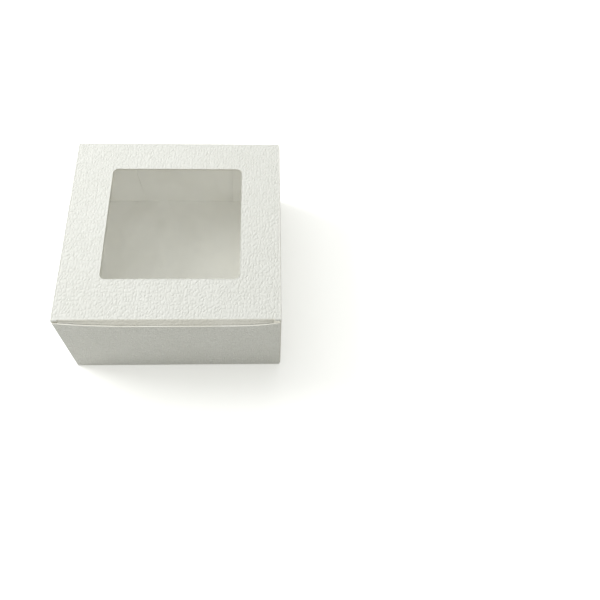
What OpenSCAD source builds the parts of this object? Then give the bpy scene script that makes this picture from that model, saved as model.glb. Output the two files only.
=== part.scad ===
// Window cake box: a glued folding carton of white embossed paperboard, shown
// closed, with a clear film window in its hinged lid and the lid's flap tucked in.
// The origin is the middle of the underside: +X right, +Y towards the back, +Z up.

/* [Box] */
// Outside width, across the side walls
box_w = 150; // [110:1:260]
// Outside depth, front wall to back wall
box_d = 150; // [110:1:260]
// Height from the underside to the top of the closed lid
box_h = 72; // [50:1:130]

/* [Board] */
// Thickness of the paperboard
board = 0.6; // [0.4:0.05:0.8]
// Inside radius of a sharp crease
crease_r = 0.3; // [0.2:0.05:0.6]
// Thickness of a dried glue line
glue = 0.1; // [0.05:0.01:0.2]

/* [Lid] */
// Setback of the lid's side edges from the outer faces of the walls
lid_setback = 0.3; // [0.1:0.1:1]
// Radius of the lid's front corners
lid_corner_r = 1.5; // [0.5:0.1:3]
// Depth of the front wall's raw top edge below the top of the lid
front_drop = 3.5; // [2:0.1:6]

/* [Tuck flap] */
// Length of the flap, from the top of the lid to its free edge
tuck_h = 30; // [18:1:40]
// Width of the shoulder that the lid keeps beside each end of the flap
tuck_shoulder = 4; // [3:0.1:8]
// Width of the slit between the shoulder and the flap
tuck_slit = 0.4; // [0.3:0.1:1]
// Outside radius of the soft fold between the lid and the flap
tuck_fold_r = 2.5; // [2:0.1:4]
// Lean of the tucked flap back from the front wall, in degrees
tuck_lean = 12; // [10:1:20]
// Amount by which the flap narrows at each end towards its free edge
tuck_taper = 1.5; // [0:0.1:4]
// Radius of the flap's free corners
tuck_corner_r = 12; // [4:1:16]
// Gap between the soft fold and the glue tabs in front of it
tuck_gap = 0.4; // [0.3:0.1:1]

/* [Window] */
// Width of the lid beside the window, from the box's outer face
frame_side = 28; // [20:0.5:40]
// Width of the lid in front of the window, from the box's outer face
frame_front = 32; // [20:0.5:40]
// Width of the lid behind the window, from the box's outer face
frame_back = 24.5; // [18:0.5:40]
// Radius of the window's corners
window_r = 4; // [1:0.5:15]
// Thickness of the clear film
film = 0.2; // [0.05:0.05:0.3]
// Overlap of the film past each edge of the window
film_lap = 8; // [5:0.5:12]
// Width of the glue line round the window
glue_band = 4; // [2:0.5:4]
// Gap between the window's edge and the glue line
glue_inset = 2; // [0.5:0.1:2.5]

/* [Dust flaps] */
// Setback of the flap's free edge from the edge of the window
dust_setback = 1; // [0.5:0.5:8]
// Gap between a dust flap and the film above it
dust_gap = 0.3; // [0.3:0.1:1]
// Distance of the fold's front end from the box's front face
dust_front = 3.2; // [3:0.1:10]
// Distance of the fold's back end from the box's back face
dust_back = 6; // [5:0.5:15]
// Taper of the flap's front edge, in degrees
dust_front_taper = 15; // [10:1:30]
// Taper of the flap's back edge, in degrees
dust_back_taper = 5; // [3:1:30]
// Radius of the flap's front corner
dust_front_r = 18; // [4:1:22]
// Radius of the flap's back corner
dust_back_r = 8; // [4:1:16]

/* [Glue tabs] */
// Reach of a tab along the wall that it is glued to, at its foot
tab_w = 36; // [20:1:45]
// Amount by which the tab's free edge leans in towards the top
tab_slant = 4; // [1:0.5:10]
// Depth of the tab's top below the front wall's top edge
tab_drop = 2; // [1:0.5:10]
// Gap between the tab's foot and the bend of the floor
tab_lift = 0.3; // [0.2:0.1:3]
// Radius of the tab's free corners
tab_corner_r = 3; // [1:0.5:8]
// Setback of the glue patch from the edges of its tab
patch_setback = 3; // [1:0.5:6]

/* [Hidden] */
$fn = 64;

// Angle at which a round runs out on the edges beside it, in degrees
runout = 3;

// Folds, and the ends of the panels that meet them
half_w = box_w / 2;
half_d = box_d / 2;
bend_r = crease_r + board;
end_x = half_w - bend_r;
end_y = half_d - bend_r;
tab_face = half_d - board - glue;
side_end = tab_face - bend_r;

// Layers under the closed lid, from the top down
lid_under = box_h - board;
film_top = lid_under - glue;
film_under = film_top - film;
dust_top = film_under - dust_gap;

// Heights of the walls and tabs
back_top = box_h - bend_r;
side_top = dust_top - bend_r;
front_top = box_h - front_drop;
tab_foot = bend_r + tab_lift;
tab_top = front_top - tab_drop;

// Lid and tuck flap
lid_half = half_w - lid_setback;
notch_half = lid_half - tuck_shoulder;
tuck_half = notch_half - tuck_slit;
tuck_len = tuck_h - tuck_fold_r;
fold_y = board - tab_face + tuck_gap + tuck_fold_r;
fold_z = box_h - tuck_fold_r;
fold_angle = 90 + tuck_lean;
fold_flat = (tuck_fold_r - board / 2) * fold_angle * PI / 180;
lid_front = fold_y - fold_flat / 2;

// Window and what is glued round it
window = [box_w - 2 * frame_side, box_d - frame_front - frame_back];
window_y = (frame_front - frame_back) / 2;

// Dust flaps
dust_edge = half_w - frame_side + dust_setback;
dust_start = dust_front - half_d;
dust_end = half_d - dust_back;

WHITE = [0.93, 0.93, 0.90];
FOLD = [0.88, 0.87, 0.82];
CLEAR = [0.80, 0.88, 0.90, 0.35];
GLUE = [0.90, 0.86, 0.70];

// Copies the right-hand or back version of a piece to the side that the signs give
module to_side(x_side, y_side = 1)
    mirror([x_side < 0 ? 1 : 0, 0, 0])
    mirror([0, y_side < 0 ? 1 : 0, 0])
    children();

// Board standing across the box, cut to an outline in X and Z, with its back face at y
module cross_panel(y, thickness = board)
    translate([0, y, 0]) rotate([90, 0, 0]) linear_extrude(thickness) children();

// Board standing along the box, cut to an outline in Y and Z, with its inner face at x
module side_panel(x)
    translate([x, 0, 0]) rotate([90, 0, 90]) linear_extrude(board) children();

// Board or film lying flat, cut to an outline in X and Y, with its underside at z
module flat_panel(z, thickness = board)
    translate([0, 0, z]) linear_extrude(thickness) children();

// Board bent round the Z axis from the +X side towards +Y, with the given outside radius
module bend(outer, angle, length)
    translate([0, 0, -length / 2]) rotate_extrude(angle = angle)
    translate([outer - board, 0]) square([board, length]);

// Waste to trim off corner p, between the edges to a and b, to leave a round of radius r.
// The round runs out on each edge at a slight angle, so that it ends in a clean corner.
module corner_waste(p, a, b, r) {
    to_a = (a - p) / norm(a - p);
    to_b = (b - p) / norm(b - p);
    half = acos(to_a * to_b) / 2;
    edge = 0.9 * min(norm(a - p), norm(b - p));
    round_r = min(r, edge * tan(half));
    reach = round_r / tan(half);
    centre = p + (to_a + to_b) / norm(to_a + to_b) * round_r / sin(half);
    difference() {
        polygon([p + to_a * reach, p - to_a - to_b, p + to_b * reach, centre]);
        translate(centre) circle(round_r / cos(runout));
    }
}

module rounded_rectangle(size, r) {
    corner_r = min(r, 0.45 * min(size));
    square([size.x - 2 * corner_r, size.y], center = true);
    square([size.x, size.y - 2 * corner_r], center = true);
    for (x = [-1, 1], y = [-1, 1])
        translate([x * (size.x / 2 - corner_r), y * (size.y / 2 - corner_r)]) circle(corner_r);
}

// Tray: floor, walls and the creases between them

module floor_panel() color(WHITE)
    flat_panel(0) square([2 * end_x, 2 * end_y], center = true);

module front_wall() color(WHITE)
    cross_panel(board - half_d)
    translate([-end_x, bend_r]) square([2 * end_x, front_top - bend_r]);

module back_wall() color(WHITE)
    cross_panel(half_d)
    translate([-end_x, bend_r]) square([2 * end_x, back_top - bend_r]);

module side_wall(x_side) color(WHITE)
    to_side(x_side) side_panel(half_w - board)
    translate([-side_end, bend_r]) square([2 * side_end, side_top - bend_r]);

module cross_floor_crease(y_side) color(FOLD)
    to_side(1, y_side) translate([0, end_y, bend_r])
    rotate([0, 90, 0]) bend(bend_r, 90, 2 * end_x);

module side_floor_crease(x_side) color(FOLD)
    to_side(x_side) translate([end_x, 0, bend_r])
    rotate([-90, 0, 0]) bend(bend_r, 90, 2 * side_end);

// Corners: each side wall turns into a tab, glued flat inside the front or back wall

module corner_crease(x_side, y_side) color(FOLD)
    to_side(x_side, y_side) translate([end_x, side_end, (tab_foot + tab_top) / 2])
    bend(bend_r, 90, tab_top - tab_foot);

module corner_tab(x_side, y_side) {
    free_foot = half_w - tab_w;
    root_foot = [end_x, tab_foot];
    root_top = [end_x, tab_top];
    free_top = [free_foot + tab_slant, tab_top - tab_slant];
    free_low = [free_foot, tab_foot];
    color(WHITE) to_side(x_side, y_side) cross_panel(tab_face)
    difference() {
        polygon([root_foot, root_top, free_top, free_low]);
        corner_waste(free_top, root_top, free_low, tab_corner_r);
        corner_waste(free_low, free_top, root_foot, tab_corner_r);
    }
}

module corner_glue() {
    low = [half_w - tab_w + tab_slant + patch_setback, tab_foot + patch_setback];
    high = [end_x - patch_setback, tab_top - tab_slant - patch_setback];
    color(GLUE) for (x_side = [-1, 1], y_side = [-1, 1])
        to_side(x_side, y_side) cross_panel(tab_face + glue, glue)
        translate(low) square(high - low);
}

// Lid: hinged on the back wall, with the film glued under its window

module lid_crease() color(FOLD)
    translate([0, end_y, back_top]) rotate([0, -90, 0]) bend(bend_r, 90, 2 * end_x);

module lid_panel() {
    front_left = [-lid_half, lid_front];
    front_right = [lid_half, lid_front];
    slit_left = [-notch_half, lid_front];
    slit_right = [notch_half, lid_front];
    back_left = [-lid_half, end_y];
    back_right = [lid_half, end_y];
    color(WHITE) flat_panel(lid_under) difference() {
        polygon([front_left, slit_left, [-notch_half, fold_y], [notch_half, fold_y],
                 slit_right, front_right, back_right, back_left]);
        corner_waste(front_left, back_left, slit_left, lid_corner_r);
        corner_waste(front_right, slit_right, back_right, lid_corner_r);
        translate([0, window_y]) rounded_rectangle(window, window_r);
    }
}

module window_glue() {
    inner = window + 2 * [glue_inset, glue_inset];
    color(GLUE) flat_panel(film_top, glue) translate([0, window_y]) difference() {
        square(inner + 2 * [glue_band, glue_band], center = true);
        square(inner, center = true);
    }
}

module window_film() color(CLEAR)
    flat_panel(film_under, film)
    translate([0, window_y]) square(window + 2 * [film_lap, film_lap], center = true);

// Tuck flap: turns down from the lid in a soft fold and leans back inside the front wall

module tuck_crease() color(FOLD)
    translate([0, fold_y, fold_z]) mirror([0, 1, 0])
    rotate([0, -90, 0]) bend(tuck_fold_r, fold_angle, 2 * tuck_half);

module tuck_flap() {
    root_left = [-tuck_half, 0];
    root_right = [tuck_half, 0];
    free_left = [tuck_taper - tuck_half, -tuck_len];
    free_right = [tuck_half - tuck_taper, -tuck_len];
    color(WHITE) translate([0, fold_y, fold_z]) rotate([tuck_lean, 0, 0])
    cross_panel(board - tuck_fold_r) difference() {
        polygon([root_left, free_left, free_right, root_right]);
        corner_waste(free_left, root_left, free_right, tuck_corner_r);
        corner_waste(free_right, free_left, root_right, tuck_corner_r);
    }
}

// Dust flaps: turn in from the side walls and lie under the lid's frame

module dust_crease(x_side) color(FOLD)
    to_side(x_side) translate([end_x, (dust_start + dust_end) / 2, side_top])
    rotate([90, 0, 0]) bend(bend_r, 90, dust_end - dust_start);

module dust_flap(x_side) {
    run = end_x - dust_edge;
    root_front = [end_x, dust_start];
    root_back = [end_x, dust_end];
    free_front = [dust_edge, dust_start + run * tan(dust_front_taper)];
    free_back = [dust_edge, dust_end - run * tan(dust_back_taper)];
    color(WHITE) to_side(x_side) flat_panel(dust_top - board) difference() {
        polygon([root_front, root_back, free_back, free_front]);
        corner_waste(free_front, root_front, free_back, dust_front_r);
        corner_waste(free_back, free_front, root_back, dust_back_r);
    }
}

floor_panel();
front_wall();
back_wall();
side_wall(-1);  // left_wall
side_wall(1);  // right_wall
corner_tab(-1, -1);  // front_left_tab
corner_tab(1, -1);  // front_right_tab
corner_tab(-1, 1);  // back_left_tab
corner_tab(1, 1);  // back_right_tab
corner_glue();
cross_floor_crease(-1);  // front_floor_crease
cross_floor_crease(1);  // back_floor_crease
side_floor_crease(-1);  // left_floor_crease
side_floor_crease(1);  // right_floor_crease
corner_crease(-1, -1);  // front_left_crease
corner_crease(1, -1);  // front_right_crease
corner_crease(-1, 1);  // back_left_crease
corner_crease(1, 1);  // back_right_crease
lid_crease();
lid_panel();
window_film();
window_glue();
tuck_crease();
tuck_flap();
dust_crease(-1);  // left_dust_crease
dust_crease(1);  // right_dust_crease
dust_flap(-1);  // left_dust_flap
dust_flap(1);  // right_dust_flap
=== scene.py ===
import math

import bmesh
import bpy
import numpy as np
from mathutils import Matrix, Vector, kdtree


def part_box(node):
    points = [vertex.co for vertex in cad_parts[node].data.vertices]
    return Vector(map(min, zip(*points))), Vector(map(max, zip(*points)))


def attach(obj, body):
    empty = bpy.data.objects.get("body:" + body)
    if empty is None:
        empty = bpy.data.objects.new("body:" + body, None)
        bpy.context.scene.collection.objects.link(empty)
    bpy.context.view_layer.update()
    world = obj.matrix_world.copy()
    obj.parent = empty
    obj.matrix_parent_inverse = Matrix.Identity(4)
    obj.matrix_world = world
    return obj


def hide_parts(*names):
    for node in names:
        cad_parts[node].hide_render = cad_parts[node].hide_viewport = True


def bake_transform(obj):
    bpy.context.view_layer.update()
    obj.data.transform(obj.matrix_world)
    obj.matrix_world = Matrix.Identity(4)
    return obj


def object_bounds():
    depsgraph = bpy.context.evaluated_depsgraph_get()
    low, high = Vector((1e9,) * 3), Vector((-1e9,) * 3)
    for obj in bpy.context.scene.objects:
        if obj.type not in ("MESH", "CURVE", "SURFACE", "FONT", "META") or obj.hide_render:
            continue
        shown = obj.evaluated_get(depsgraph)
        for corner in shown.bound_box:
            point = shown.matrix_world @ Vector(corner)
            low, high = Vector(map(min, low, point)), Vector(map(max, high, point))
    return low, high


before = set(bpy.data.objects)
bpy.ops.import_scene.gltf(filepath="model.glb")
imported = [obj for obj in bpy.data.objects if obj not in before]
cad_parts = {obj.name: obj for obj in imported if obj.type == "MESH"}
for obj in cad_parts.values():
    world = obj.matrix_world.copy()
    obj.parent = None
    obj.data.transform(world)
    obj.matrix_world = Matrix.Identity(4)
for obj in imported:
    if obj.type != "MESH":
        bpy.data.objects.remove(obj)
cadLow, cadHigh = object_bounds()
mm = 0.001
xAxis, yAxis, zAxis = Vector((1, 0, 0)), Vector((0, 1, 0)), Vector((0, 0, 1))
print("frame loaded:", len(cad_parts), "nodes")

# camera, at the photo's viewing angle
viewpoint = {
    "place": (67.086, -274.395, 473.011),  # mm
    "yaw": -5.393,  # degrees
    "down": 61.680,
    "roll": 4.585,
    "lens": 40.985,
    "nearest": 10 * mm,
}


def addCamera(look):
    bpy.ops.object.select_all(action="DESELECT")
    bpy.ops.object.camera_add()
    camera = bpy.context.object
    turn = Matrix.Rotation(math.radians(look["yaw"]), 4, "Z")
    turn = turn @ Matrix.Rotation(math.radians(90 - look["down"]), 4, "X")
    turn = turn @ Matrix.Rotation(math.radians(look["roll"]), 4, "Z")
    camera.matrix_world = Matrix.Translation(Vector(look["place"]) * mm) @ turn
    camera.data.lens = look["lens"]
    camera.data.clip_start = look["nearest"]
    bpy.context.scene.camera = camera


addCamera(viewpoint)
print("camera placed")

# node helpers
noiseSpan = (0.3, 0.7)  # nearly all of a noise lies between these


def addNode(tree, kind, inputs=None, **settings):
    node = tree.nodes.new(kind)
    for name, value in settings.items():
        setattr(node, name, value)
    for key, value in (inputs or {}).items():
        if isinstance(value, bpy.types.NodeSocket):
            tree.links.new(value, node.inputs[key])
        else:
            node.inputs[key].default_value = value
    return node


def calc(tree, operation, *values):
    return addNode(tree, "ShaderNodeMath", dict(enumerate(values)), operation=operation).outputs[0]


def vectorCalc(tree, operation, inputs, output="Vector"):
    return addNode(tree, "ShaderNodeVectorMath", inputs, operation=operation).outputs[output]


def remap(tree, value, fromLow, fromHigh, toLow, toHigh, curve="SMOOTHSTEP"):
    inputs = {"Value": value, "From Min": fromLow, "From Max": fromHigh, "To Min": toLow, "To Max": toHigh}
    return addNode(tree, "ShaderNodeMapRange", inputs, interpolation_type=curve).outputs[0]


def noise(tree, vector, scale, detail=2.0):
    return addNode(tree, "ShaderNodeTexNoise", {"Vector": vector, "Scale": scale, "Detail": detail})


def mixColour(tree, factor, first, second):
    node = addNode(tree, "ShaderNodeMix", {0: factor, 6: first, 7: second}, data_type="RGBA")
    return node.outputs[2]


def newGroup(name, kind, inputs, outputs):
    tree = bpy.data.node_groups.new(name, kind)
    for label, socket in inputs.items():
        tree.interface.new_socket(label, in_out="INPUT", socket_type=socket)
    for label, socket in outputs.items():
        tree.interface.new_socket(label, in_out="OUTPUT", socket_type=socket)
    return tree, tree.nodes.new("NodeGroupInput"), tree.nodes.new("NodeGroupOutput")


# leather grain: pebbles parted by thin creases, the same field for the mesh and for the shader
grain = {
    "across": 2.1 * mm,  # size of a pebble across the grain
    "along": 3.1 * mm,  # and along it
    "depth": 0.26 * mm,
    "swirl": 0.9,
    "swirlScale": 0.42,
    "mixed": 0.9,  # how far the pebbles differ in size
    "creaseWidth": 0.38,
    "faintScale": 0.8,  # patches where the creases are fainter
    "faintRange": (0.32, 0.56),
    "faintest": 0.35,
    "rippleScale": 2.6,  # fine unevenness on the pebbles
    "ripple": 0.2,
}


def creaseField(tree, coords, across, along):
    u = vectorCalc(tree, "DOT_PRODUCT", {0: coords, 1: across}, "Value")
    v = vectorCalc(tree, "DOT_PRODUCT", {0: coords, 1: along}, "Value")
    cells = addNode(tree, "ShaderNodeCombineXYZ", {0: u, 1: v}).outputs[0]
    drift = noise(tree, cells, grain["swirlScale"]).outputs[1]
    drift = vectorCalc(tree, "SUBTRACT", {0: drift, 1: (0.5, 0.5, 0.5)})
    drift = vectorCalc(tree, "SCALE", {0: drift, "Scale": grain["swirl"]})
    bent = vectorCalc(tree, "ADD", {0: cells, 1: drift})
    edge = addNode(
        tree,
        "ShaderNodeTexVoronoi",
        {"Vector": bent, "Scale": 1.0, "Randomness": grain["mixed"]},
        feature="DISTANCE_TO_EDGE",
        voronoi_dimensions="2D",
    ).outputs["Distance"]
    crease = remap(tree, edge, 0.0, grain["creaseWidth"], 1.0, 0.0)
    faint = noise(tree, cells, grain["faintScale"], 1.0).outputs[0]
    strength = remap(tree, faint, *grain["faintRange"], grain["faintest"], 1.0)
    ripple = noise(tree, cells, grain["rippleScale"]).outputs[0]
    ripple = remap(tree, ripple, *noiseSpan, 0.0, grain["ripple"], "LINEAR")
    return calc(tree, "ADD", calc(tree, "MULTIPLY", crease, strength), ripple)


def makeEmboss():
    tree, ins, outs = newGroup(
        "grainPress",
        "GeometryNodeTree",
        {"Geometry": "NodeSocketGeometry", "Across": "NodeSocketVector", "Along": "NodeSocketVector"},
        {"Geometry": "NodeSocketGeometry"},
    )
    place = addNode(tree, "GeometryNodeInputPosition").outputs[0]
    press = addNode(tree, "GeometryNodeInputNamedAttribute", {"Name": "press"}, data_type="FLOAT_VECTOR")
    crease = creaseField(tree, place, ins.outputs["Across"], ins.outputs["Along"])
    push = vectorCalc(tree, "SCALE", {0: press.outputs[0], "Scale": crease})
    moved = addNode(tree, "GeometryNodeSetPosition", {"Geometry": ins.outputs["Geometry"], "Offset": push})
    tree.links.new(moved.outputs[0], outs.inputs[0])
    return tree


def makeGrainGroup():
    tree, ins, outs = newGroup(
        "leatherGrain",
        "ShaderNodeTree",
        {"Vector": "NodeSocketVector", "Across": "NodeSocketVector", "Along": "NodeSocketVector"},
        {"Height": "NodeSocketFloat", "Crease": "NodeSocketFloat"},
    )
    crease = creaseField(tree, ins.outputs["Vector"], ins.outputs["Across"], ins.outputs["Along"])
    tree.links.new(calc(tree, "SUBTRACT", 1.0, crease), outs.inputs["Height"])
    tree.links.new(crease, outs.inputs["Crease"])
    return tree


# paper fibre: fine strands, and a broad mottle of the colour
fibreDetail = 3.0
mottleScale = 45.0


def makeFibreGroup():
    tree, ins, outs = newGroup(
        "paperFibre",
        "ShaderNodeTree",
        {"Vector": "NodeSocketVector", "Stretch": "NodeSocketVector"},
        {"Height": "NodeSocketFloat", "Mottle": "NodeSocketFloat"},
    )
    strands = vectorCalc(tree, "MULTIPLY", {0: ins.outputs["Vector"], 1: ins.outputs["Stretch"]})
    tree.links.new(noise(tree, strands, 1.0, fibreDetail).outputs[0], outs.inputs["Height"])
    cloud = noise(tree, ins.outputs["Vector"], mottleScale, fibreDetail).outputs[0]
    tree.links.new(remap(tree, cloud, *noiseSpan, 0.0, 1.0), outs.inputs["Mottle"])
    return tree


embossNodes = makeEmboss()
grainGroup = makeGrainGroup()
fibreGroup = makeFibreGroup()
perAcross, perAlong = 1 / grain["across"], 1 / grain["along"]
grainUp = {"Across": (perAcross, 0, 0), "Along": (0, perAlong, perAlong)}  # runs front to back and up
grainRound = {"Across": (perAcross, 0, perAcross), "Along": (0, perAlong, 0)}  # on the sides
print("grain groups made")


# materials
def newMaterial(name):
    material = bpy.data.materials.new(name)
    material.use_nodes = True
    tree = material.node_tree
    return material, tree, tree.nodes["Principled BSDF"]


def objectCoords(tree):
    return addNode(tree, "ShaderNodeTexCoord").outputs["Object"]


def paperMaterial(name, look):
    material, tree, shader = newMaterial(name)
    coords = objectCoords(tree)
    fibre = addNode(
        tree, "ShaderNodeGroup", {"Vector": coords, "Stretch": look["fibre"]}, node_tree=fibreGroup
    )
    colour = mixColour(tree, fibre.outputs["Mottle"], (*look["colour"], 1), (*look["shade"], 1))
    height = calc(tree, "MULTIPLY", fibre.outputs["Height"], look["fibreHeight"])
    rough = remap(tree, fibre.outputs["Height"], *noiseSpan, *look["rough"], "LINEAR")
    if "grain" in look:
        leather = addNode(tree, "ShaderNodeGroup", {"Vector": coords, **look["grain"]}, node_tree=grainGroup)
        crease = leather.outputs["Crease"]
        # the grain's creases are darkened: painted shade in their valleys
        tint = calc(tree, "MULTIPLY", crease, look["creaseShadeAmount"])
        colour = mixColour(tree, tint, colour, (*look["creaseShadeColour"], 1))
        height = calc(tree, "ADD", height, leather.outputs["Height"])
        rough = calc(tree, "ADD", rough, calc(tree, "MULTIPLY", crease, look["creaseRough"]))
    bump = addNode(tree, "ShaderNodeBump", {"Height": height, "Distance": look["bump"], "Strength": 1.0})
    tree.links.new(colour, shader.inputs["Base Color"])
    tree.links.new(rough, shader.inputs["Roughness"])
    tree.links.new(bump.outputs[0], shader.inputs["Normal"])
    shader.inputs["Specular IOR Level"].default_value = look["gloss"]
    return material


outerLook = {
    "colour": (0.873, 0.878, 0.838),
    "shade": (0.855, 0.860, 0.815),
    # colour and share of the painted shade in the grain's creases
    "creaseShadeColour": (0.80, 0.80, 0.75),
    "creaseShadeAmount": 0.35,
    "creaseRough": 0.12,
    "fibre": (2200, 1400, 1800),
    "fibreHeight": 0.25,
    "rough": (0.50, 0.62),
    "bump": 0.12 * mm,
    "gloss": 0.35,
}
# the tuck fold's colour is darker than the outer board's: painted shade on the band where the fold turns
# down
foldPaintedShadeLook = {
    **outerLook,
    "colour": (0.757, 0.744, 0.671),
    "shade": (0.729, 0.714, 0.636),
    "creaseShadeAmount": 0.2,
}
# the tray's inside is whiter than the board's own inside: painted light that brightens the inside of the
# box; the lid's inside below keeps the plainer white
innerPaintedLightLook = {
    "colour": (0.958, 0.949, 0.912),
    "shade": (0.949, 0.939, 0.898),
    "fibre": (900, 500, 900),
    "fibreHeight": 0.6,
    "rough": (0.68, 0.82),
    "bump": 0.02 * mm,
    "gloss": 0.25,
}
flapLook = {**innerPaintedLightLook, "colour": (0.885, 0.878, 0.838), "shade": (0.872, 0.864, 0.818)}
edgeLook = {
    "colour": (0.935, 0.925, 0.865),
    "shade": (0.875, 0.860, 0.780),
    "fibre": (1500, 1500, 6000),
    "fibreHeight": 1.0,
    "rough": (0.85, 0.95),
    "bump": 0.03 * mm,
    "gloss": 0.15,
}
foldLook = {
    "colour": (0.868, 0.868, 0.820),
    "shade": (0.840, 0.838, 0.780),
    "fibre": (500, 2600, 2600),
    "fibreHeight": 1.0,
    "rough": (0.52, 0.68),
    "bump": 0.03 * mm,
    "gloss": 0.30,
}

outerBoard = paperMaterial("embossedBoard", {**outerLook, "grain": grainUp})
foldPaintedShadeBoard = paperMaterial("foldPaintedShadeBoard", {**foldPaintedShadeLook, "grain": grainUp})
outerSideBoard = paperMaterial("embossedSideBoard", {**outerLook, "grain": grainRound})
# painted light: the tray's inside is whiter than the lid's inside of the same board
innerPaintedLightBoard = paperMaterial("insidePaintedLightBoard", innerPaintedLightLook)
flapBoard = paperMaterial("flapInside", flapLook)
rawEdge = paperMaterial("rawEdge", edgeLook)
foldedBoard = paperMaterial("foldedBoard", foldLook)

# a finish is the outer face, the inner face and the cut edge
wallFinish = [outerBoard, innerPaintedLightBoard, rawEdge]
sideFinish = [outerSideBoard, innerPaintedLightBoard, rawEdge]
lidFinish = [outerBoard, flapBoard, rawEdge]
dustFinish = [outerSideBoard, flapBoard, rawEdge]
foldFinish = [foldedBoard, innerPaintedLightBoard, rawEdge]
# painted shade: the tuck fold's outer face is coloured darker than the board
foldPaintedShadeFinish = [foldPaintedShadeBoard, flapBoard, rawEdge]

filmLook = {
    "colour": (0.93, 0.94, 0.93),
    "rough": 0.06,
    "rippleScale": 30.0,
    "ripple": 0.2 * mm,
    "rippleStrength": 0.4,
    "ior": 1.45,
    "hazeScale": 60.0,
    "haze": (0.085, 0.115),
    "clear": (0.985, 0.988, 0.98),  # tint of what shows through
}


def clearFilmMaterial(look):
    material, tree, shader = newMaterial("clearFilm")
    coords = objectCoords(tree)
    shader.inputs["Base Color"].default_value = (*look["colour"], 1)
    shader.inputs["Roughness"].default_value = look["rough"]
    ripple = noise(tree, coords, look["rippleScale"], 1.0).outputs[0]
    swell = {"Height": ripple, "Distance": look["ripple"], "Strength": look["rippleStrength"]}
    bump = addNode(tree, "ShaderNodeBump", swell)
    tree.links.new(bump.outputs[0], shader.inputs["Normal"])
    facing = calc(tree, "SUBTRACT", 1.0, addNode(tree, "ShaderNodeNewGeometry").outputs["Backfacing"])
    mirror = addNode(tree, "ShaderNodeFresnel", {"IOR": look["ior"]}).outputs[0]
    mirror = calc(tree, "MULTIPLY", mirror, facing)
    haze = noise(tree, coords, look["hazeScale"], 3.0).outputs[0]
    haze = remap(tree, haze, *noiseSpan, *look["haze"], "LINEAR")
    solid = calc(tree, "ADD", mirror, haze)
    see = addNode(tree, "ShaderNodeBsdfTransparent", {"Color": (*look["clear"], 1)})
    both = addNode(tree, "ShaderNodeMixShader", {0: solid, 1: see.outputs[0], 2: shader.outputs[0]})
    tree.links.new(both.outputs[0], tree.nodes["Material Output"].inputs["Surface"])
    return material


glueLook = {
    "blotchScale": 220.0,
    "colour": (0.86, 0.83, 0.72),
    "shade": (0.80, 0.76, 0.62),
    "rough": (0.25, 0.45),
    "bump": 0.1 * mm,
    "bumpStrength": 0.6,
}


def driedGlueMaterial(look):
    material, tree, shader = newMaterial("driedGlue")
    blotch = noise(tree, objectCoords(tree), look["blotchScale"], 3.0).outputs[0]
    colour = mixColour(tree, blotch, (*look["colour"], 1), (*look["shade"], 1))
    tree.links.new(colour, shader.inputs["Base Color"])
    tree.links.new(remap(tree, blotch, *noiseSpan, *look["rough"]), shader.inputs["Roughness"])
    swell = {"Height": blotch, "Distance": look["bump"], "Strength": look["bumpStrength"]}
    bump = addNode(tree, "ShaderNodeBump", swell)
    tree.links.new(bump.outputs[0], shader.inputs["Normal"])
    return material


clearFilm = clearFilmMaterial(filmLook)
driedGlue = driedGlueMaterial(glueLook)
print("materials made")

# modelling helpers
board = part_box("lid_panel")[1].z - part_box("lid_panel")[0].z
slotCount = 3
innerSlot, edgeSlot = 1, 2  # slot 0 is the outer face
tooClose = 1e-7  # points nearer than this are one
facesInward = -0.9  # an inner face has its normal at least this far against the outward direction
facings = {  # outward direction of the face, and the turn that stands a flat sheet up to it
    "front": ((0, -1, 0), (90, 0, 0)),
    "back": ((0, 1, 0), (90, 0, 180)),
    "right": ((1, 0, 0), (90, 0, 90)),
    "left": ((-1, 0, 0), (90, 0, -90)),
    "top": ((0, 0, 1), (0, 0, 0)),
    "bottom": ((0, 0, -1), (180, 0, 0)),
}
panel = {
    "cell": 0.45 * mm,
    "patch": 12 * mm,
    "creaseWidth": 1.6 * mm,  # the grain fades out this far from a crease
    "cutWidth": 0.8 * mm,  # and this far from a cut edge
    "leastGrain": 0.08,  # share of the grain that is left there
    "smooth": 40,  # degrees
}


def pickPiece(piece):
    bpy.ops.object.select_all(action="DESELECT")
    piece.select_set(True)
    bpy.context.view_layer.objects.active = piece


def openMesh(piece):
    pickPiece(piece)
    bpy.ops.object.mode_set(mode="EDIT")
    bpy.ops.mesh.select_mode(type="FACE")
    bpy.ops.mesh.select_all(action="SELECT")


def closeMesh():
    bpy.ops.object.mode_set(mode="OBJECT")


def pickFaces(piece, wanted):
    bpy.ops.mesh.select_all(action="DESELECT")
    shape = bmesh.from_edit_mesh(piece.data)
    for face in shape.faces:
        if not face.hide:
            face.select_set(wanted(face.calc_center_median(), face.normal))
    bmesh.update_edit_mesh(piece.data)


def pickEdges(piece, wanted):
    bpy.ops.mesh.select_mode(type="EDGE")
    bpy.ops.mesh.select_all(action="DESELECT")
    shape = bmesh.from_edit_mesh(piece.data)
    for edge in shape.edges:
        edge.select_set(edge.is_boundary and wanted((edge.verts[0].co + edge.verts[1].co) / 2))
    bmesh.update_edit_mesh(piece.data)


def cutAlong(point, across, clear=False):
    bpy.ops.mesh.select_all(action="SELECT")
    bpy.ops.mesh.bisect(plane_co=point, plane_no=across, clear_outer=clear, threshold=tooClose)


def trimAway(point, outward):
    cutAlong(point, outward, clear=True)


def cutOblong(low, high):
    for point, across in ((low, xAxis), (high, xAxis), (low, yAxis), (high, yAxis)):
        cutAlong(point, across)


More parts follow.
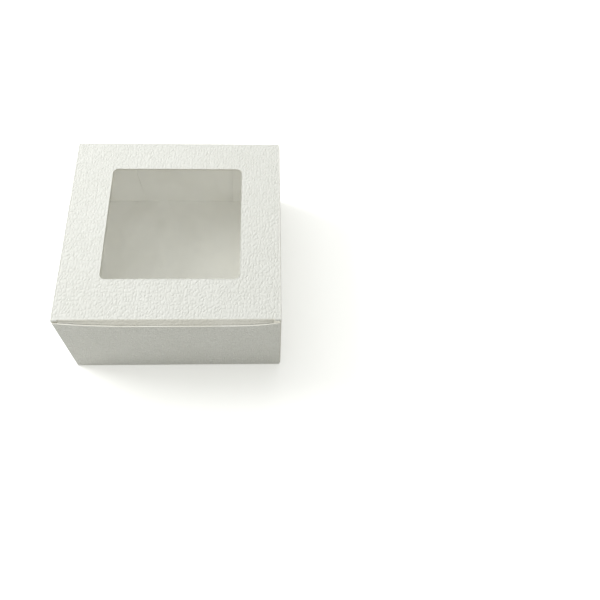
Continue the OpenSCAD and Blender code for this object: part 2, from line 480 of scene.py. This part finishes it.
def arcCuts(corner, alongA, alongB, radius, steps):
    # a point and an outward direction for each chord of the round at a corner
    middle = (alongA + alongB).normalized()
    half = alongA.angle(alongB) / 2
    centre = corner + middle * (radius / math.sin(half))
    first = (corner + alongA * (radius / math.tan(half)) - centre).normalized()
    axis = first.cross(-middle).normalized()
    step = (math.pi - 2 * half) / steps
    for i in range(steps):
        outward = Matrix.Rotation(step * (i + 0.5), 3, axis) @ first
        yield centre + outward * (radius * math.cos(step / 2)), outward


def roundCorner(corner, alongA, alongB, radius, steps):
    for point, outward in arcCuts(corner, alongA, alongB, radius, steps):
        trimAway(point, outward)


def addSheet(name, low, high, facing, cell):
    # a flat grid on the outer face of the box from low to high
    outward, turn = Vector(facings[facing][0]), [math.radians(a) for a in facings[facing][1]]
    size = high - low
    wide = size.y if facing in ("left", "right") else size.x
    tall = size.y if facing in ("top", "bottom") else size.z
    centre = (low + high) / 2
    centre += outward * (abs(outward.dot(size)) / 2)
    bpy.ops.object.select_all(action="DESELECT")
    bpy.ops.mesh.primitive_grid_add(
        x_subdivisions=max(1, round(wide / cell)),
        y_subdivisions=max(1, round(tall / cell)),
        size=1,
        location=centre,
        rotation=turn,
    )
    piece = bpy.context.object
    piece.name = name
    piece.data.name = name
    piece.scale = (wide, tall, 1)
    bpy.ops.object.transform_apply(location=True, rotation=True, scale=True)
    return piece, outward


def thicken(piece, thickness):
    for i in range(slotCount):
        piece.data.materials.append(None)
    modifier = piece.modifiers.new("thickness", "SOLIDIFY")
    modifier.thickness = thickness
    modifier.offset = -1
    modifier.material_offset = innerSlot
    modifier.material_offset_rim = edgeSlot
    pickPiece(piece)
    bpy.ops.object.modifier_apply(modifier=modifier.name)


def coarsenInside(piece, outward, patch):
    # the smooth inside needs only a few large patches
    openMesh(piece)
    pickFaces(piece, lambda centre, normal: normal.dot(outward) < facesInward)
    bpy.ops.mesh.delete(type="FACE")
    pickEdges(piece, lambda centre: True)
    bpy.ops.mesh.fill(use_beauty=False)
    bpy.ops.mesh.select_mode(type="FACE")
    bpy.ops.mesh.hide(unselected=True)
    points = [v.co for v in piece.data.vertices]
    for axis, across in enumerate((xAxis, yAxis, zAxis)):
        if abs(across.dot(outward)) > 0.5:
            continue
        low = min(p[axis] for p in points)
        span = max(p[axis] for p in points) - low
        count = round(span / patch)
        for i in range(1, count):
            cutAlong(across * (low + span * i / count), across)
    bpy.ops.mesh.reveal(select=False)
    bpy.ops.mesh.select_all(action="SELECT")
    bpy.ops.mesh.normals_make_consistent(inside=False)
    closeMesh()
    for polygon in piece.data.polygons:
        if polygon.normal.dot(outward) < facesInward:
            polygon.material_index = innerSlot


def readPoints(piece):
    points = np.zeros(len(piece.data.vertices) * 3)
    piece.data.vertices.foreach_get("co", points)
    return points.reshape(-1, 3)


def writePoints(piece, points):
    piece.data.vertices.foreach_set("co", points.ravel())
    piece.data.update()


def storePress(piece, press):
    attribute = piece.data.attributes.new("press", "FLOAT_VECTOR", "POINT")
    attribute.data.foreach_set("vector", press.astype(np.float32).ravel())


def embossSheet(piece, run):
    modifier = piece.modifiers.new("grainPress", "NODES")
    modifier.node_group = embossNodes
    for label, way in run.items():
        modifier[embossNodes.interface.items_tree[label].identifier] = way
    pickPiece(piece)
    bpy.ops.object.modifier_apply(modifier=modifier.name)
    piece.data.attributes.remove(piece.data.attributes["press"])


def creaseFade(piece, points, creases):
    # the grain is flattened along the creases, each an axis and a place on it, and along every cut edge
    near = np.ones(len(points))
    for axis, place in creases:
        near = np.minimum(near, np.abs(points[:, axis] - place) / panel["creaseWidth"])
    rim = [polygon for polygon in piece.data.polygons if polygon.material_index == edgeSlot]
    edge = {i for polygon in rim for i in polygon.vertices}
    cut = kdtree.KDTree(len(edge))
    for i in edge:
        cut.insert(points[i], i)
    cut.balance()
    near = np.minimum(near, np.array([cut.find(point)[2] for point in points]) / panel["cutWidth"])
    least = panel["leastGrain"]
    return least + (1 - least) * near * near * (3 - 2 * near)


def finishPiece(piece, materials, nodes, body=None):
    for i in range(slotCount):
        piece.data.materials[i] = materials[min(i, len(materials) - 1)]
    pickPiece(piece)
    bpy.ops.object.shade_smooth_by_angle(angle=math.radians(panel["smooth"]))
    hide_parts(*nodes)
    if body:
        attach(piece, body)
    return piece


def embossedPanel(piece, outward, creases, bow, run, materials, node, body, patch=panel["patch"]):
    outerLevel = max(Vector(v.co).dot(outward) for v in piece.data.vertices)
    thicken(piece, board)
    coarsenInside(piece, outward, patch)
    points = readPoints(piece)
    direction = np.array(outward)
    outside = (points @ direction) > outerLevel - board / 2
    press = -direction * (grain["depth"] * outside * creaseFade(piece, points, creases))[:, None]
    storePress(piece, press)
    writePoints(piece, points + direction * bow(points)[:, None])
    embossSheet(piece, run)
    print("panel", piece.name, len(piece.data.polygons), "faces")
    return finishPiece(piece, materials, [node], body)


def bowSheet(piece, outward, thickness, bow):
    thicken(piece, thickness)
    points = readPoints(piece)
    writePoints(piece, points + np.array(outward) * bow(points)[:, None])


def share(values, low, high):
    # how far along from low to high each value lies, from 0 to 1
    return np.clip((values - low) / (high - low), 0, 1)


def dome(height, along, up):
    # full in the middle and nothing at the edges, with along from -1 to 1 and up from 0 to 1
    return height * np.cos(along * math.pi / 2) * np.sin(up * math.pi)


frontLow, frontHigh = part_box("front_wall")
backLow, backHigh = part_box("back_wall")
sideLow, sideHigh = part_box("right_wall")
floorLow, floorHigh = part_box("floor_panel")
lidLow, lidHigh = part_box("lid_panel")
creaseLow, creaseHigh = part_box("tuck_crease")

# front wall, with its raw top edge bulging out where the flap presses on it
frontWall = {
    "rise": 1.55 * mm,  # the raw edge stands this far above the solid's
    "lip": 0.2 * mm,  # and turns out this far more
    "bow": 2.4 * mm,
    "bowCurve": 1.6,  # the bulge grows faster towards the top
    "ends": (3, 7),  # how far the bulge stays full towards the left and the right end
    "patch": 3 * mm,  # small faces inside, so that they follow the bulge
}


def frontSwell(points):
    along = np.clip(np.abs(points[:, 0]) / frontHigh.x, 0, 1)
    return frontWall["bow"] * (1 - along ** np.where(points[:, 0] < 0, *frontWall["ends"]))


def frontBow(points):
    up = np.maximum((points[:, 2] - frontLow.z) / (frontHigh.z - frontLow.z), 0)
    return frontSwell(points) * up ** frontWall["bowCurve"]


def frontWallBow(points):
    top = share(points[:, 2], frontHigh.z, frontHigh.z + frontWall["rise"])
    outside = points[:, 1] < (frontLow.y + frontHigh.y) / 2
    return frontBow(points) + frontWall["lip"] * top * top * outside


rawTop = frontHigh + zAxis * frontWall["rise"]
piece, outward = addSheet("frontWallBoard", frontLow, rawTop, "front", panel["cell"])
embossedPanel(
    piece,
    outward,
    [(2, frontLow.z)],
    frontWallBow,
    grainUp,
    wallFinish,
    "front_wall",
    "tray",
    patch=frontWall["patch"],
)

# back wall, creased to the floor and to the lid
backWall = {"bow": 0.5 * mm}


def backBow(points):
    along = np.clip(points[:, 0] / frontHigh.x, -1, 1)
    return dome(backWall["bow"], along, share(points[:, 2], sideLow.z, sideHigh.z))


piece, outward = addSheet("backWallBoard", backLow, backHigh, "back", panel["cell"])
embossedPanel(
    piece,
    outward,
    [(2, backLow.z), (2, backHigh.z)],
    backBow,
    grainUp,
    wallFinish,
    "back_wall",
    "tray",
)

# side walls, creased all round
sideWall = {"bow": 0.6 * mm}


def sideBow(points):
    along = np.clip(points[:, 1] / sideHigh.y, -1, 1)
    return dome(sideWall["bow"], along, share(points[:, 2], sideLow.z, sideHigh.z))


for side in ("left", "right"):
    wallLow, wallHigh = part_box(side + "_wall")
    piece, outward = addSheet(side + "WallBoard", wallLow, wallHigh, side, panel["cell"])
    embossedPanel(
        piece,
        outward,
        [(axis, edge[axis]) for axis in (1, 2) for edge in (wallLow, wallHigh)],
        sideBow,
        grainRound,
        sideFinish,
        side + "_wall",
        "tray",
    )

# floor, flat, with its grain on the underside
floorPanel = {"cell": 0.7 * mm, "patch": 40 * mm}


def flat(points):
    return np.zeros(len(points))


piece, outward = addSheet("floorBoard", floorLow, floorHigh, "bottom", floorPanel["cell"])
embossedPanel(
    piece,
    outward,
    [(axis, edge[axis]) for axis in (0, 1) for edge in (floorLow, floorHigh)],
    flat,
    grainUp,
    wallFinish,
    "floor_panel",
    "tray",
    patch=floorPanel["patch"],
)

# tuck flap and its fold, drawn tight so that the flap lies close behind the front wall
tuck = {
    "foldRadius": 1.15 * mm,
    "foldSteps": 18,
    "foldGrain": 0.4,  # share of the grain that the fold keeps
    "foldHold": 0.12,  # share of the fold at each end that stays with its panel
    "score": 0.40 * mm,  # depth of the score line along the fold
    "scoreAt": 0.66,  # where on the turn it lies
    "scoreWidth": 0.30,
    "gap": 0.08 * mm,
    "taper": 1.5 * mm,
    "cornerRound": 12 * mm,
    "cornerSteps": 14,
    "bowCurve": 1.5,  # the bulge fades faster away from the fold
}
foldRadius = tuck["foldRadius"]
foldCentre = Vector((0, frontHigh.y + tuck["gap"] + foldRadius, lidHigh.z - foldRadius))
solidRadius = creaseHigh.y - creaseLow.y
foldLean = math.asin((creaseHigh.z - solidRadius - creaseLow.z) / solidRadius)

# lid, with its window and the two shoulders that turn down beside the tuck flap
lid = {
    "bow": 0.5 * mm,
    "slit": 0.4 * mm,
    "shoulder": 1.7 * mm,
    "shoulderRows": 5,
    "shoulderRound": 0.8 * mm,
    "shoulderSteps": 6,
    "filmLap": 8 * mm,
    "windowRound": 4 * mm,
    "windowSteps": 10,
}
filmLow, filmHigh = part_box("window_film")
windowLow = Vector((filmLow.x + lid["filmLap"], filmLow.y + lid["filmLap"], lidHigh.z))
windowHigh = Vector((filmHigh.x - lid["filmLap"], filmHigh.y - lid["filmLap"], lidHigh.z))


def lidBow(points):
    along = np.clip(points[:, 0] / lidHigh.x, -1, 1)
    return dome(lid["bow"], along, share(points[:, 1], creaseHigh.y, lidHigh.y))


def insideWindow(centre, low, high, radius):
    beyondX = max(low.x + radius - centre.x, centre.x - high.x + radius, 0)
    beyondY = max(low.y + radius - centre.y, centre.y - high.y + radius, 0)
    return math.hypot(beyondX, beyondY) < radius


def cutWindow(piece, low, high, radius):
    cutOblong(low, high)
    for x, alongX in ((low.x, xAxis), (high.x, -xAxis)):
        for y, alongY in ((low.y, yAxis), (high.y, -yAxis)):
            corner = Vector((x, y, low.z))
            pickFaces(
                piece,
                lambda c, n: 0 < (c - corner).dot(alongX) < radius and 0 < (c - corner).dot(alongY) < radius,
            )
            bpy.ops.mesh.hide(unselected=True)
            for point, outward in arcCuts(corner, alongX, alongY, radius, lid["windowSteps"]):
                cutAlong(point, outward)
            bpy.ops.mesh.reveal(select=False)
    pickFaces(piece, lambda c, n: insideWindow(c, low, high, radius))
    bpy.ops.mesh.delete(type="FACE")


def addLid():
    notch = creaseHigh.x + lid["slit"]
    sheetLow = Vector((lidLow.x, foldCentre.y, lidLow.z))
    piece, outward = addSheet("lidBoard", sheetLow, lidHigh, "top", panel["cell"])
    openMesh(piece)
    for x in (-notch, notch):
        cutAlong(xAxis * x, xAxis)
    pickEdges(piece, lambda c: c.y < foldCentre.y + panel["cell"] / 4 and abs(c.x) > notch)
    rowStep = (0, -lid["shoulder"] / lid["shoulderRows"], 0)
    for i in range(lid["shoulderRows"]):
        bpy.ops.mesh.extrude_edges_move(TRANSFORM_OT_translate={"value": rowStep})
    bpy.ops.mesh.select_mode(type="FACE")
    for x, along in ((lidLow.x, xAxis), (lidHigh.x, -xAxis)):
        corner = Vector((x, foldCentre.y - lid["shoulder"], lidHigh.z))
        roundCorner(corner, along, yAxis, lid["shoulderRound"], lid["shoulderSteps"])
    cutWindow(piece, windowLow, windowHigh, lid["windowRound"])
    closeMesh()
    return piece, outward


def turnDown(piece):
    # the shoulders follow the fold's own curve
    points = readPoints(piece)
    over = np.maximum(foldCentre.y - points[:, 1], 0)
    angle = over / foldRadius
    radius = points[:, 2] - foldCentre.z
    bent = over > 0
    points[bent, 1] = (foldCentre.y - radius * np.sin(angle))[bent]
    points[bent, 2] = (foldCentre.z + radius * np.cos(angle))[bent]
    writePoints(piece, points)


piece, outward = addLid()
embossedPanel(
    piece,
    outward,
    [(1, lidHigh.y), (1, foldCentre.y)],
    lidBow,
    grainUp,
    lidFinish,
    "lid_panel",
    "lid",
)
turnDown(piece)

# tuck flap: modelled hanging straight, then leaned back about the middle of its fold
flapDrop = (foldCentre.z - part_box("tuck_flap")[0].z - foldRadius * math.sin(foldLean)) / math.cos(foldLean)


def addTuckFlap():
    low = Vector((creaseLow.x, foldCentre.y - foldRadius, foldCentre.z - flapDrop))
    high = Vector((creaseHigh.x, low.y + board, foldCentre.z))
    piece, outward = addSheet("tuckFlapBoard", low, high, "front", panel["cell"])
    openMesh(piece)
    for side in (-1, 1):
        root = Vector((side * high.x, low.y, high.z))
        free = Vector((side * (high.x - tuck["taper"]), low.y, low.z))
        upward = (root - free).normalized()
        trimAway(root, Vector((side * upward.z, 0, -side * upward.x)))
        roundCorner(free, upward, xAxis * -side, tuck["cornerRound"], tuck["cornerSteps"])
    closeMesh()
    return piece, outward


def flapBow(points):
    # the flap presses the front wall out at the top and is flat lower down
    down = np.clip((foldCentre.z - points[:, 2]) / flapDrop, 0, 1)
    return frontSwell(points) * (1 - down) ** tuck["bowCurve"]


def leanBack(piece):
    lean = Matrix.Rotation(foldLean, 4, "X")
    piece.data.transform(Matrix.Translation(foldCentre) @ lean @ Matrix.Translation(-foldCentre))


piece, outward = addTuckFlap()
embossedPanel(
    piece,
    outward,
    [(2, foldCentre.z)],
    flapBow,
    grainUp,
    lidFinish,
    "tuck_flap",
    "tuck",
)
leanBack(piece)

# dust flaps, with tapered ends and round free corners
dust = {
    "frontTaper": 15,  # degrees
    "backTaper": 5,
    "frontRound": 18 * mm,
    "frontSteps": 12,
    "backRound": 8 * mm,
    "backSteps": 10,
    "droop": 0.7 * mm,
}


def squareTo(way, sign):
    # the direction square to an edge that runs along way, towards the front (-1) or the back (1)
    normal = Vector((-way.y, way.x, 0))
    return normal if normal.y * sign > 0 else -normal


def addDustFlap(side):
    low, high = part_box(side + "_dust_flap")
    piece, outward = addSheet(side + "DustBoard", low, high, "top", panel["cell"])
    inward = xAxis if side == "left" else -xAxis
    rootX, freeX = (low.x, high.x) if side == "left" else (high.x, low.x)
    run = abs(freeX - rootX)
    frontSlope = math.tan(math.radians(dust["frontTaper"]))
    backSlope = math.tan(math.radians(dust["backTaper"]))
    freeFront = Vector((freeX, low.y + run * frontSlope, high.z))
    freeBack = Vector((freeX, high.y - run * backSlope, high.z))
    frontWay = (inward + yAxis * frontSlope).normalized()
    backWay = (inward - yAxis * backSlope).normalized()
    openMesh(piece)
    trimAway(freeFront, squareTo(frontWay, -1))
    trimAway(freeBack, squareTo(backWay, 1))
    roundCorner(freeFront, -frontWay, yAxis, dust["frontRound"], dust["frontSteps"])
    roundCorner(freeBack, -backWay, -yAxis, dust["backRound"], dust["backSteps"])
    closeMesh()
    return piece, outward, rootX, run


for side in ("left", "right"):
    piece, outward, rootX, run = addDustFlap(side)

    def droop(points):
        return -dust["droop"] * np.clip(np.abs(points[:, 0] - rootX) / run, 0, 1) ** 2

    embossedPanel(
        piece,
        outward,
        [(0, rootX)],
        droop,
        grainRound,
        dustFinish,
        side + "_dust_flap",
        side + "_dust",
    )

# corner tabs, glued flat inside the front and back walls
tab = {
    "slant": 3 * mm,
    "reach": 3 * mm,  # the free edge runs this far past the solid's, to where the window shows it
    "cornerRound": 3 * mm,
    "cornerSteps": 6,
    "cell": 1.5 * mm,
    "loose": "back_right_tab",  # its free end stands off the wall where the glue stops
    "lift": 1.2 * mm,
    "liftFrom": 8 * mm,
}

for face, bow in (("front", frontBow), ("back", backBow)):
    for side in ("left", "right"):
        node = f"{face}_{side}_tab"
        low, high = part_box(node)
        if side == "left":
            high.x += tab["reach"]
        else:
            low.x -= tab["reach"]
        piece, outward = addSheet(f"{face}{side.title()}TabBoard", low, high, face, tab["cell"])
        inward = xAxis if side == "left" else -xAxis
        outerY = low.y if face == "front" else high.y
        rootX, freeX = (low.x, high.x) if side == "left" else (high.x, low.x)
        freeLow = Vector((freeX, outerY, low.z))
        freeTop = freeLow - inward * tab["slant"] + zAxis * (high.z - low.z - tab["slant"])
        rootTop = Vector((rootX, outerY, high.z))
        upward = (freeTop - freeLow).normalized()
        topWay = (rootTop - freeTop).normalized()
        openMesh(piece)
        trimAway(freeLow, Vector((inward.x * upward.z, 0, -inward.x * upward.x)))
        trimAway(rootTop, Vector((inward.x * topWay.z, 0, abs(topWay.x))))
        roundCorner(freeTop, topWay, -upward, tab["cornerRound"], tab["cornerSteps"])
        roundCorner(freeLow, upward, -inward, tab["cornerRound"], tab["cornerSteps"])
        closeMesh()

        def tabBow(points):
            loose = np.clip(1 - np.abs(points[:, 0] - freeX) / tab["liftFrom"], 0, 1) ** 2
            return bow(points) - tab["lift"] * loose * (node == tab["loose"])

        bowSheet(piece, outward, board, tabBow)
        finishPiece(piece, sideFinish, [node], "tray")
print("tabs made")

# folds: the outer line of each is swept about its axis
fold = {
    "cell": 3 * mm,
    "steps": 10,
    "lidSteps": 16,
    "dustSteps": 12,
    "slack": 0.3 * mm,  # inner radius of the bend
    "hold": 0.33,  # share of a hinged fold at each end that stays with its panel
}
bendRadius = floorHigh.z - floorLow.z + fold["slack"]


def addFold(name, centre, start, end, radius, angle, length, steps, cells):
    axis = start.cross(end).normalized()
    bpy.ops.object.select_all(action="DESELECT")
    bpy.ops.mesh.primitive_plane_add(size=1)
    piece = bpy.context.object
    piece.name = name
    piece.data.name = name
    openMesh(piece)
    bpy.ops.mesh.select_mode(type="VERT")
    bpy.ops.mesh.select_all(action="DESELECT")
    shape = bmesh.from_edit_mesh(piece.data)
    for i, corner in enumerate(shape.verts):
        corner.select_set(i > 1)
    bmesh.update_edit_mesh(piece.data)
    bpy.ops.mesh.delete(type="VERT")
    closeMesh()
    ends = [centre + start * radius - axis * (length / 2), centre + start * radius + axis * (length / 2)]
    for vertex, place in zip(piece.data.vertices, ends):
        vertex.co = place
    openMesh(piece)
    bpy.ops.mesh.select_mode(type="EDGE")
    bpy.ops.mesh.select_all(action="SELECT")
    bpy.ops.mesh.subdivide(number_cuts=cells - 1)
    bpy.ops.mesh.select_all(action="SELECT")
    bpy.ops.mesh.spin(steps=steps, angle=-angle, center=centre, axis=axis)
    bpy.ops.mesh.select_all(action="SELECT")
    bpy.ops.mesh.remove_doubles(threshold=tooClose)
    bpy.ops.mesh.normals_make_consistent(inside=False)
    closeMesh()
    first = piece.data.polygons[0]
    if first.normal.dot(first.center - centre - axis * (first.center - centre).dot(axis)) < 0:
        openMesh(piece)
        bpy.ops.mesh.flip_normals()
        closeMesh()
    return piece


def thickenFold(piece, centre, radius):
    # the inner face is put exactly under the outer one, so that the ends meet the panels square
    outer = readPoints(piece)
    thicken(piece, board)
    points = readPoints(piece)
    points[len(outer):] = outer
    along = outer.max(axis=0) - outer.min(axis=0)
    along = (along == along.max()).astype(float)
    spoke = (outer - np.array(centre)) * (1 - along)
    points[len(outer):] -= spoke * (board / radius)
    writePoints(piece, points)


def squareFold(name, centre, start, end, length, node, body=None, steps=fold["steps"]):
    cells = round(length / fold["cell"])
    piece = addFold(name, centre, start, end, bendRadius, math.pi / 2, length, steps, cells)
    thickenFold(piece, centre, bendRadius)
    return finishPiece(piece, foldFinish, [node], body)


for face, way in (("front", -yAxis), ("back", yAxis)):
    low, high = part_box(face + "_floor_crease")
    centre = Vector((0, high.y if face == "front" else low.y, high.z))
    length = high.x - low.x
    squareFold(face + "FloorFold", centre, -zAxis, way, length, face + "_floor_crease", "tray")
for side, way in (("left", -xAxis), ("right", xAxis)):
    low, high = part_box(side + "_floor_crease")
    centre = Vector((high.x if side == "left" else low.x, 0, high.z))
    length = high.y - low.y
    squareFold(side + "FloorFold", centre, -zAxis, way, length, side + "_floor_crease", "tray")
for face, way in (("front", -yAxis), ("back", yAxis)):
    for side, sideWay in (("left", -xAxis), ("right", xAxis)):
        node = f"{face}_{side}_crease"
        low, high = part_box(node)
        high.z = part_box(side + "_wall")[1].z  # up past the tab to the wall's own top
        x = high.x if side == "left" else low.x
        y = high.y if face == "front" else low.y
        centre = Vector((x, y, (low.z + high.z) / 2))
        squareFold(f"{face}{side.title()}Fold", centre, sideWay, way, high.z - low.z, node, "tray")
print("folds made")


# folds at the joints: each only has its placing baked into its points
def blendFold(piece):
    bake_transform(piece)


low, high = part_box("lid_crease")
centre = Vector((0, low.y, low.z))
piece = squareFold("lidFold", centre, yAxis, zAxis, high.x - low.x, "lid_crease", steps=fold["lidSteps"])
blendFold(piece)

for side, way in (("left", -xAxis), ("right", xAxis)):
    low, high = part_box(side + "_dust_crease")
    centre = Vector((high.x if side == "left" else low.x, (low.y + high.y) / 2, low.z))
    length = high.y - low.y
    node = side + "_dust_crease"
    piece = squareFold(side + "DustFold", centre, way, zAxis, length, node, steps=fold["dustSteps"])
    blendFold(piece)

# tuck fold: bulged with the flap, and scored along its length; its darker colour is painted shade
tuckAngle = math.pi / 2 + foldLean
tuckLength = creaseHigh.x - creaseLow.x
tuckCells = round(tuckLength / panel["cell"])


def scoreFold(piece):
    points = readPoints(piece)
    away = points - np.array(foldCentre)
    away[:, 0] = 0
    reach = np.linalg.norm(away, axis=1)
    outside = reach > foldRadius - board / 2
    storePress(piece, -away / reach[:, None] * (tuck["foldGrain"] * grain["depth"] * outside)[:, None])
    turned = np.clip(np.arctan2(-away[:, 1], away[:, 2]) / tuckAngle, 0, 1)
    ease = turned * turned * (3 - 2 * turned)
    ahead = np.array((0, -math.cos(foldLean), -math.sin(foldLean)))
    groove = tuck["score"] * np.exp(-(((turned - tuck["scoreAt"]) / tuck["scoreWidth"]) ** 2)) * outside
    points -= away / reach[:, None] * groove[:, None]
    rootLine = np.column_stack((points[:, 0], points[:, 1], np.full(len(points), foldCentre.z)))
    writePoints(piece, points + ahead * (flapBow(rootLine) * ease)[:, None])


piece = addFold(
    "tuckFold", foldCentre, zAxis, -yAxis, foldRadius, tuckAngle, tuckLength, tuck["foldSteps"], tuckCells
)
thickenFold(piece, foldCentre, foldRadius)
scoreFold(piece)
embossSheet(piece, grainUp)
finishPiece(piece, foldPaintedShadeFinish, ["tuck_crease"])
blendFold(piece)
print("hinged folds made")

# window film, slightly rippled
film = {
    "cell": 2.5 * mm,
    "ripple": 0.05 * mm,
    "waves": ((95, 1.1), (71, 0.4)),  # radians per metre across and along, and where each starts
}


def filmBow(points):
    (acrossRate, acrossStart), (alongRate, alongStart) = film["waves"]
    ripple = np.sin(points[:, 0] * acrossRate + acrossStart) * np.sin(points[:, 1] * alongRate + alongStart)
    return lidBow(points) + film["ripple"] * ripple


piece, outward = addSheet("windowFilmSheet", filmLow, filmHigh, "top", film["cell"])
bowSheet(piece, outward, filmHigh.z - filmLow.z, filmBow)
finishPiece(piece, [clearFilm], ["window_film"], "lid")

# glue: a line round the window, and a patch behind each corner tab
glue = {
    "cell": 2.5 * mm,
    "inset": 2 * mm,  # from the window to the glue line
    "setback": 3 * mm,  # from a tab's edges to its patch
}
glueLow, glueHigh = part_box("window_glue")
glueThick = glueHigh.z - glueLow.z
piece, outward = addSheet("windowGlueLine", glueLow, glueHigh, "top", glue["cell"])
openMesh(piece)
inset = Vector((glue["inset"], glue["inset"], 0))
holeLow, holeHigh = windowLow - inset, windowHigh + inset
cutOblong(holeLow, holeHigh)
pickFaces(piece, lambda c, n: holeLow.x < c.x < holeHigh.x and holeLow.y < c.y < holeHigh.y)
bpy.ops.mesh.delete(type="FACE")
closeMesh()
bowSheet(piece, outward, glueThick, lidBow)
finishPiece(piece, [driedGlue], ["window_glue"], "lid")

patches = []
rootSetback, freeSetback = glue["setback"], tab["slant"] + glue["setback"]
for face, bow in (("front", frontBow), ("back", backBow)):
    for side in ("left", "right"):
        low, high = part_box(f"{face}_{side}_tab")
        low.x += rootSetback if side == "left" else freeSetback
        high.x -= freeSetback if side == "left" else rootSetback
        low.z += rootSetback
        high.z -= freeSetback
        low.y, high.y = (low.y - glueThick, low.y) if face == "front" else (high.y, high.y + glueThick)
        piece, outward = addSheet(f"{face}{side.title()}Glue", low, high, face, tab["cell"])
        bowSheet(piece, outward, glueThick, bow)
        patches.append(piece)
bpy.ops.object.select_all(action="DESELECT")
for piece in patches:
    piece.select_set(True)
bpy.context.view_layer.objects.active = patches[0]
bpy.ops.object.join()
patches[0].name = "cornerGluePatches"
finishPiece(patches[0], [driedGlue], ["corner_glue"], "tray")
print("film and glue made")

# studio: white floor and surround, a softbox above the back and a smaller one at the left
studio = {
    "floor": 12.0,
    "floorColour": (0.88, 0.875, 0.85),
    "seenColour": (1.15, 1.15, 1.13),
    "lift": (0.25, 0.9),  # glow of the floor that the camera sees, near the box and far from it
    "liftRange": (0.08, 0.45),  # distance from the box over which the floor turns to plain white
    "overhead": (0.60, 0.608, 0.588),
    "horizon": (0.18, 0.175, 0.155),
    "softboxes": (
        {"place": (-0.05, 0.28, 0.85), "size": 0.8, "power": 1.8},
        {"place": (-0.62, 0.22, 0.62), "size": 0.4, "power": 3.6},
    ),
    "bounces": 10,  # light goes to and fro inside the white box
}


def seenRay(tree):
    path = addNode(tree, "ShaderNodeLightPath")
    seen = calc(tree, "MAXIMUM", path.outputs["Is Camera Ray"], path.outputs["Is Glossy Ray"])
    return calc(tree, "MAXIMUM", seen, path.outputs["Is Transmission Ray"])


def addFloor():
    bpy.ops.object.select_all(action="DESELECT")
    bpy.ops.mesh.primitive_plane_add(size=studio["floor"], location=(0, 0, cadLow.z))
    floor = bpy.context.object
    floor.name = "studioFloor"
    material, tree, shader = newMaterial("studioFloor")
    tree.nodes.remove(shader)
    seen = seenRay(tree)
    colour = mixColour(tree, seen, (*studio["floorColour"], 1), (*studio["seenColour"], 1))
    paper = addNode(tree, "ShaderNodeBsdfDiffuse", {"Color": colour})
    away = vectorCalc(tree, "LENGTH", {0: objectCoords(tree)}, "Value")
    lift = remap(tree, away, *studio["liftRange"], *studio["lift"])
    lift = calc(tree, "MULTIPLY", seen, lift)
    glow = addNode(tree, "ShaderNodeEmission", {"Color": (1, 1, 1, 1), "Strength": lift})
    both = addNode(tree, "ShaderNodeAddShader", {0: paper.outputs[0], 1: glow.outputs[0]})
    tree.links.new(both.outputs[0], tree.nodes["Material Output"].inputs["Surface"])
    floor.data.materials.append(material)


def addLights():
    scene = bpy.context.scene
    scene.view_settings.view_transform = "Standard"
    scene.cycles.diffuse_bounces = studio["bounces"]
    world = scene.world or bpy.data.worlds.new("studio")
    scene.world = world
    world.use_nodes = True
    tree = world.node_tree
    tree.nodes.clear()
    way = addNode(tree, "ShaderNodeTexCoord").outputs["Generated"]
    height = addNode(tree, "ShaderNodeSeparateXYZ", {0: way}).outputs["Z"]
    sky = mixColour(tree, height, (*studio["horizon"], 1), (*studio["overhead"], 1))
    fill = addNode(tree, "ShaderNodeBackground", {0: sky, 1: 1.0})
    white = addNode(tree, "ShaderNodeBackground", {0: (1, 1, 1, 1), 1: 1.0})
    both = addNode(tree, "ShaderNodeMixShader", {0: seenRay(tree), 1: fill.outputs[0], 2: white.outputs[0]})
    output = addNode(tree, "ShaderNodeOutputWorld")
    tree.links.new(both.outputs[0], output.inputs["Surface"])
    bpy.ops.object.select_all(action="DESELECT")
    for look in studio["softboxes"]:
        bpy.ops.object.light_add(type="AREA", location=look["place"])
        softbox = bpy.context.object
        softbox.data.size = look["size"]
        softbox.data.energy = look["power"]
        aim = Vector((0, 0, cadHigh.z)) - softbox.location
        softbox.rotation_euler = aim.to_track_quat("-Z", "Y").to_euler()


addFloor()
addLights()
print("studio lit")
